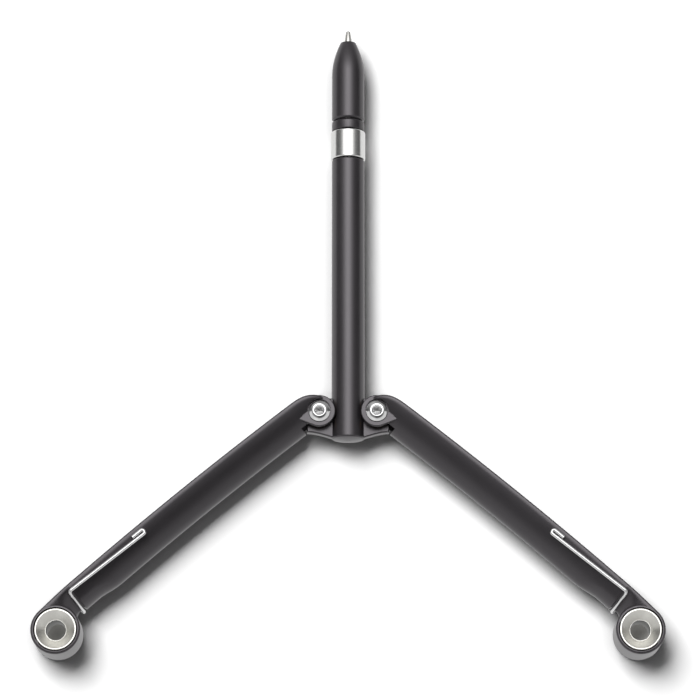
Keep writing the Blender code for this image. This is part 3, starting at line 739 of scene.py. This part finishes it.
def bright_steel(name, dullness):
    """Bright zinc-plated steel with the slight unevenness of plating; inside the hex sockets it is rougher
    and painted darker as painted shade.
    """
    made, shader, start = new_finish(name)
    shader.inputs["Metallic"].default_value = 1.0
    place = start.node("ShaderNodeTexCoord", output="Object")
    plating = start.node("ShaderNodeTexNoise", inputs={"Vector": place, "Scale": 900.0, "Detail": 3.0})
    folded = start.node("ShaderNodeVectorMath", {"operation": "ABSOLUTE"}, {0: place})
    level = start.node("ShaderNodeVectorMath", {"operation": "MULTIPLY"}, {0: folded, 1: (1.0, 1.0, 0.0)})
    hub = (half_spacing, abs(pivot_y), 0.0)
    away = start.node("ShaderNodeVectorMath", {"operation": "DISTANCE"}, {0: level, 1: hub}, "Value")
    # Painted shade: the insides of the hex sockets are painted a darker grey for the shade in the recess.
    socket_painted_shade = start.math("LESS_THAN", away, SOCKET_SHADE_REACH)
    coated = between(start, plating, (0.74, 0.74, 0.74, 1.0), (0.84, 0.84, 0.84, 1.0))
    between(start, socket_painted_shade, coated, (0.50, 0.50, 0.50, 1.0)).feeds(shader, "Base Color")
    (dullness + 0.06 * plating + 0.15 * socket_painted_shade).feeds(shader, "Roughness")
    return made


def satin_bronze():
    """Rolled bronze with fine, even scratches."""
    made, shader, start = new_finish("satin_bronze")
    shader.inputs["Metallic"].default_value = 1.0
    place = start.node("ShaderNodeTexCoord", output="Object")
    scratch = (6000.0, 200.0, 200.0)
    rolled = start.node("ShaderNodeVectorMath", {"operation": "MULTIPLY"}, {0: place, 1: scratch})
    lines = start.node("ShaderNodeTexNoise", inputs={"Vector": rolled, "Scale": 1.0, "Detail": 2.0})
    between(start, lines, (0.52, 0.32, 0.15, 1.0), (0.62, 0.39, 0.19, 1.0)).feeds(shader, "Base Color")
    (0.28 + 0.14 * lines).feeds(shader, "Roughness")
    return made


HEAD_HEIGHT = 1.2 * MM
HEAD_FLAT = 1.65 * MM
CAP_FROM = radians(20)
CAP_TO = radians(48)
CAP_STEPS = 12
HEAD_EDGE = 0.06 * MM
SOCKET_SIDES = 6
SOCKET_CORNER = 1.155 * MM
SOCKET_MOUTH = 1.455 * MM
SOCKET_FLARE_END = 0.9 * MM
SOCKET_DEPTH = 0.55 * MM
SOCKET_POINT = 0.85 * MM
SOCKET_TURN = radians(10)
SOCKET_SHADE_REACH = 1.06 * MM
SHANK_RADIUS = 1.25 * MM
SHANK_HOLE = 1.5 * MM
SLEEVE_OUTSIDE = 2.0 * MM
FIT_GAP = 0.25 * MM
WASHER_EDGE = 0.08 * MM
plated = bright_steel("bright_steel", 0.05)
bronze = satin_bronze()


def head_line(radius, top):
    """Outer side of a button head, from the middle of its countersunk mouth to its underside."""
    under = top - HEAD_HEIGHT
    flare_end = top - (SOCKET_MOUTH - SOCKET_FLARE_END)
    cap_radius = (radius - HEAD_FLAT) / (sin(CAP_TO) - sin(CAP_FROM))
    cap_centre = (HEAD_FLAT - cap_radius * sin(CAP_FROM), top - cap_radius * cos(CAP_FROM))
    cap = arc(cap_centre, cap_radius, pi / 2 - CAP_FROM, pi / 2 - CAP_TO, CAP_STEPS)
    return [(0.0, flare_end), (SOCKET_FLARE_END, flare_end), (SOCKET_MOUTH, top), *cap,
            (radius, under + HEAD_EDGE), (radius - HEAD_EDGE, under)]


def cut_socket(work, place, top):
    """Hex socket with a pointed floor."""
    clear = top + HEAD_HEIGHT
    floor = top - SOCKET_DEPTH
    hexagon = [(0.0, clear), (SOCKET_CORNER, clear), (SOCKET_CORNER, floor), (0.0, floor - SOCKET_POINT)]
    turned = place @ Matrix.Rotation(SOCKET_TURN, 4, "Z")
    carve(work, "DIFFERENCE", lathe("socket", hexagon, turned, SOCKET_SIDES))


for way, name in ((-1, "left"), (1, "right")):
    upright = Matrix.Translation((way * half_spacing, pivot_y, axis_height))
    turned_over = upright @ Matrix.Rotation(pi, 4, "X")
    low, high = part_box(f"{name}_pivot_screw")
    radius = (high.x - low.x) / 2
    top = high.z - axis_height
    end = low.z - axis_height
    shank = [(SHANK_RADIUS, top - HEAD_HEIGHT), (SHANK_RADIUS, end), (0.0, end)]
    screw = lathe(f"{name}_button_screw", head_line(radius, top) + shank, upright, PIN_STEPS)
    cut_socket(screw, upright, top)
    shade(screw, plated)
    stands_for(screw, f"{name}_pivot_screw", f"{name}_arm")

    low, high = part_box(f"{name}_pivot_nut")
    top = axis_height - low.z
    mouth = axis_height - high.z
    sleeve = [(SLEEVE_OUTSIDE, top - HEAD_HEIGHT), (SLEEVE_OUTSIDE, mouth), (SHANK_HOLE, mouth),
              (SHANK_HOLE, FIT_GAP - end), (0.0, FIT_GAP - end)]
    nut = lathe(f"{name}_sleeve_nut", head_line(radius, top) + sleeve, turned_over, PIN_STEPS)
    cut_socket(nut, turned_over, top)
    shade(nut, plated)
    stands_for(nut, f"{name}_pivot_nut", f"{name}_arm")

    for label in ("front", "back"):
        low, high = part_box(f"{name}_{label}_washer")
        radius = (high.x - low.x) / 2
        half = (high.z - low.z) / 2
        ring = rounded([
            (SLEEVE_HOLE, 0.0, 0),
            (SLEEVE_HOLE, half, 0),
            (radius, half, WASHER_EDGE),
            (radius, -half, WASHER_EDGE),
            (SLEEVE_HOLE, -half, 0),
            (SLEEVE_HOLE, 0.0, 0),
        ])[:-1]
        middle = Matrix.Translation((low + high) / 2)
        washer = lathe(f"{name}_{label}_washer_ring", ring, middle, PIN_STEPS, closed=True)
        shade(washer, bronze)
        stands_for(washer, f"{name}_{label}_washer", "pen")


# Clips: each is one length of bright spring wire. It runs from a hook along the handle's face, drops into
# the neck beside the ring and wraps round the neck's back to the other face.

spring_wire = bright_steel("spring_wire", 0.27)
WIRE_RADIUS = 0.45 * MM
WIRE_GAP = 0.3 * MM
WIRE_STEP_GAP = 0.55 * MM
CLIP_LENGTH = 25.0 * MM
HOOK_LENGTH = 2.8 * MM
HOOK_RADIUS = 0.575 * MM
CLIP_INSET = 2.0 * MM
CLIP_SLANT = 0.8 * MM
CLIP_TAIL_INSET = 3.9 * MM
WIRE_BEND = 0.8 * MM
WIRE_SIDES = 28
BEND_STEPS = 18


def clip_route():
    """The wire's middle line, from its hook to its end under the neck."""
    cross = STEP_AT + WIRE_STEP_GAP + WIRE_RADIUS
    bar_height = half_handle + WIRE_GAP + WIRE_RADIUS
    bar_start = CLIP_INSET - outer_edge(STEP_AT)
    bar_end = bar_start + CLIP_SLANT
    hook_turn = cross - CLIP_LENGTH + HOOK_RADIUS
    face_centre, back_centre, back_radius, tangent = section_arcs(cross, True)
    off = WIRE_GAP + WIRE_RADIUS
    face_end = acos((bar_start + WIRE_BEND - face_centre[0]) / (FACE_RADIUS + off))
    front = arc(face_centre, FACE_RADIUS + off, face_end, tangent, BEND_STEPS)
    round_back = arc(back_centre, back_radius + off, tangent, -tangent, 2 * BEND_STEPS)
    tail_end = acos((CLIP_TAIL_INSET - outer_edge(cross) - face_centre[0]) / (FACE_RADIUS + off))
    under = [(x, -z) for x, z in arc(face_centre, FACE_RADIUS + off, tangent, tail_end, BEND_STEPS)]
    drop = bar_height - front[0][1]
    route = [(hook_turn + HOOK_LENGTH, bar_end - 2 * HOOK_RADIUS, bar_height)]
    hook = arc((hook_turn, bar_end - HOOK_RADIUS), HOOK_RADIUS, -pi / 2, -3 * pi / 2, BEND_STEPS)
    route += [(along, across, bar_height) for along, across in hook]
    for k in range(BEND_STEPS):
        turn = pi / 2 * k / BEND_STEPS
        aside = WIRE_BEND * (1 - cos(turn))
        along = cross - WIRE_BEND * (1 - sin(turn))
        route.append((along, bar_start + aside, bar_height - drop * (1 - cos(turn))))
    return route + [(cross, across, height) for across, height in front + round_back[1:] + under[1:]]


for way, name in ((-1, "left"), (1, "right")):
    line = bpy.data.curves.new("clip_line", "CURVE")
    line.dimensions = "3D"
    line.bevel_depth = WIRE_RADIUS
    line.bevel_resolution = WIRE_SIDES // 4 - 2
    line.use_fill_caps = True
    spline = line.splines.new("POLY")
    route = [spot(way, *place) for place in clip_route()]
    spline.points.add(len(route) - 1)
    for point, place in zip(spline.points, route):
        point.co = (*place, 1.0)
    drawn = bpy.data.objects.new("clip_line", line)
    bpy.context.scene.collection.objects.link(drawn)
    depsgraph = bpy.context.evaluated_depsgraph_get()
    tube = bpy.data.meshes.new_from_object(drawn.evaluated_get(depsgraph))
    wire = bpy.data.objects.new(f"{name}_wire_clip", tube)
    bpy.context.scene.collection.objects.link(wire)
    bpy.data.objects.remove(drawn)
    shade(wire, spring_wire)
    stands_for(wire, f"{name}_clip", f"{name}_wire")


# Floor: a plain white sheet under the pen. It takes the pen's shadow, and its colour is darkened by painted
# contact shade near the pen and down the weights' holes. In the metal and the gloss it shows as an even
# white.

FLOOR_HALF = 3.0
FLOOR_DROP = 0.05 * MM
FLOOR_WHITE = 0.93
FLOOR_SEEN = 0.30
FLOOR_MIRRORED = 0.9
SHADE_REACH = 6.0 * MM
SHADE_LEFT = 0.3
floor_shape = bmesh.new()
bmesh.ops.create_grid(floor_shape, x_segments=1, y_segments=1, size=FLOOR_HALF)
floor = new_piece("white_floor", floor_shape)
floor.location.z = -FLOOR_DROP
white, shader, start = new_finish("white_sheet")
shader.inputs["Roughness"].default_value = 1.0
shader.inputs["Specular IOR Level"].default_value = 0.0
path = start.node("ShaderNodeLightPath")
camera_ray = Signal(path.tree, path.socket.node.outputs["Is Camera Ray"])
glossy = Signal(path.tree, path.socket.node.outputs["Is Glossy Ray"])
# Painted shade: the floor's colour is darkened where the pen's parts crowd round it, near their edges and
# down the weights' holes.
open_sky = start.node("ShaderNodeAmbientOcclusion", {"samples": 8}, {"Distance": SHADE_REACH}, "AO")
sheet_with_painted_shade = (FLOOR_WHITE + FLOOR_SEEN * camera_ray) * (SHADE_LEFT + (1.0 - SHADE_LEFT) * open_sky)
start.node("ShaderNodeCombineColor", inputs={0: sheet_with_painted_shade, 1: sheet_with_painted_shade, 2: sheet_with_painted_shade}).feeds(shader, "Base Color")
glow = start.node("ShaderNodeEmission", inputs={"Strength": FLOOR_MIRRORED})
lit = Signal(white.node_tree, shader.outputs[0])
surface = start.node("ShaderNodeMixShader", inputs={0: glossy, 1: lit, 2: glow})
surface.feeds(white.node_tree.nodes["Material Output"], "Surface")
floor.data.materials.append(white)


# Light: a large soft lamp from the upper left casts the shadow. What the gloss and the metal mirror is a
# dark room with a soft glow overhead, a bright window low on the near side, a faint panel on the left and a
# grey wall behind.


def lamp(name, place, aim, width, depth, strength):
    """A soft lamp of an even brightness, aimed at a point."""
    light = bpy.data.lights.new(name, "AREA")
    light.shape = "RECTANGLE"
    light.size = width
    light.size_y = depth
    light.energy = strength * pi * width * depth
    made = bpy.data.objects.new(name, light)
    made.location = place
    made.rotation_euler = (Vector(aim) - Vector(place)).to_track_quat("-Z", "Y").to_euler()
    made.visible_camera = False
    bpy.context.scene.collection.objects.link(made)
    return made


KEY_AWAY = 3.0
KEY_SIZE = 2.0
KEY_RADIANCE = 8.6
key_way = Vector((-0.35, 0.43, 0.83)).normalized()
key = lamp("key_softbox", key_way * KEY_AWAY, (0.0, 0.0, 0.0), KEY_SIZE, KEY_SIZE, KEY_RADIANCE)
key.visible_glossy = False

world = bpy.data.worlds.new("studio")
bpy.context.scene.world = world
world.use_nodes = True
start = Signal(world.node_tree)
path = start.node("ShaderNodeLightPath")
rays = path.socket.node.outputs
camera_ray = Signal(world.node_tree, rays["Is Camera Ray"])
glossy = Signal(world.node_tree, rays["Is Glossy Ray"])
through = Signal(world.node_tree, rays["Is Transmission Ray"])
way = start.node("ShaderNodeTexCoord", output="Generated")
x = start.node("ShaderNodeSeparateXYZ", inputs={0: way}, output="X")
y = start.node("ShaderNodeSeparateXYZ", inputs={0: way}, output="Y")
z = start.node("ShaderNodeSeparateXYZ", inputs={0: way}, output="Z")
FILL = 0.09
ROOM = 0.08
OVERHEAD = 4.0
OVERHEAD_WIDE = 0.42
OVERHEAD_DEEP = 0.30
OVERHEAD_Y = 0.30
WINDOW = 0.66
WINDOW_Y = (0.18, 0.0)
WINDOW_Z = (0.75, 0.5)
LEFT_PANEL = 0.13
PANEL_NEAR = (-0.03, -0.3)
PANEL_FAR = (-0.45, -0.75)
FAR_WALL = 0.20
FAR_WALL_Y = (0.3, 0.8)


def fades(value, clear, full):
    """A share that rises smoothly from 0 to 1 between two values."""
    limits = {"Value": value, "From Min": clear, "From Max": full}
    return start.node("ShaderNodeMapRange", {"interpolation_type": "SMOOTHSTEP"}, limits)


across = start.math("POWER", x * (1 / OVERHEAD_WIDE), 2.0)
along = start.math("POWER", (y - OVERHEAD_Y) * (1 / OVERHEAD_DEEP), 2.0)
overhead = start.math("EXPONENT", (across + along) * -1.0) * OVERHEAD
window = fades(y, *WINDOW_Y) * fades(z, *WINDOW_Z) * WINDOW
panel = (fades(x, *PANEL_NEAR) - fades(x, *PANEL_FAR)) * LEFT_PANEL
room = ROOM + overhead + window + panel + FAR_WALL * fades(y, *FAR_WALL_Y)
seen = start.math("MAXIMUM", camera_ray, through)
strength = seen + glossy * room + (1.0 - seen - glossy) * FILL
strength.feeds(world.node_tree.nodes["Background"], "Strength")
world.node_tree.nodes["Background"].inputs["Color"].default_value = (1.0, 1.0, 1.0, 1.0)


# Camera: a long lens, nearly overhead, at the photograph's angle.

CAMERA_TILT = radians(76.2)
CAMERA_AWAY = 0.868
SENSOR_WIDTH = 36.0
FOCAL_WIDTHS = 3300 / 700
AIM = Vector((0.5, -4.94, 11.3)) * MM
camera = bpy.data.objects.new("camera", bpy.data.cameras.new("camera"))
camera.data.sensor_width = SENSOR_WIDTH
camera.data.lens = FOCAL_WIDTHS * SENSOR_WIDTH
camera.location = AIM + Vector((0.0, -cos(CAMERA_TILT), sin(CAMERA_TILT))) * CAMERA_AWAY
camera.rotation_euler = (AIM - camera.location).to_track_quat("-Z", "Y").to_euler()
bpy.context.scene.collection.objects.link(camera)
bpy.context.scene.camera = camera

bpy.context.scene.view_settings.view_transform = "Standard"
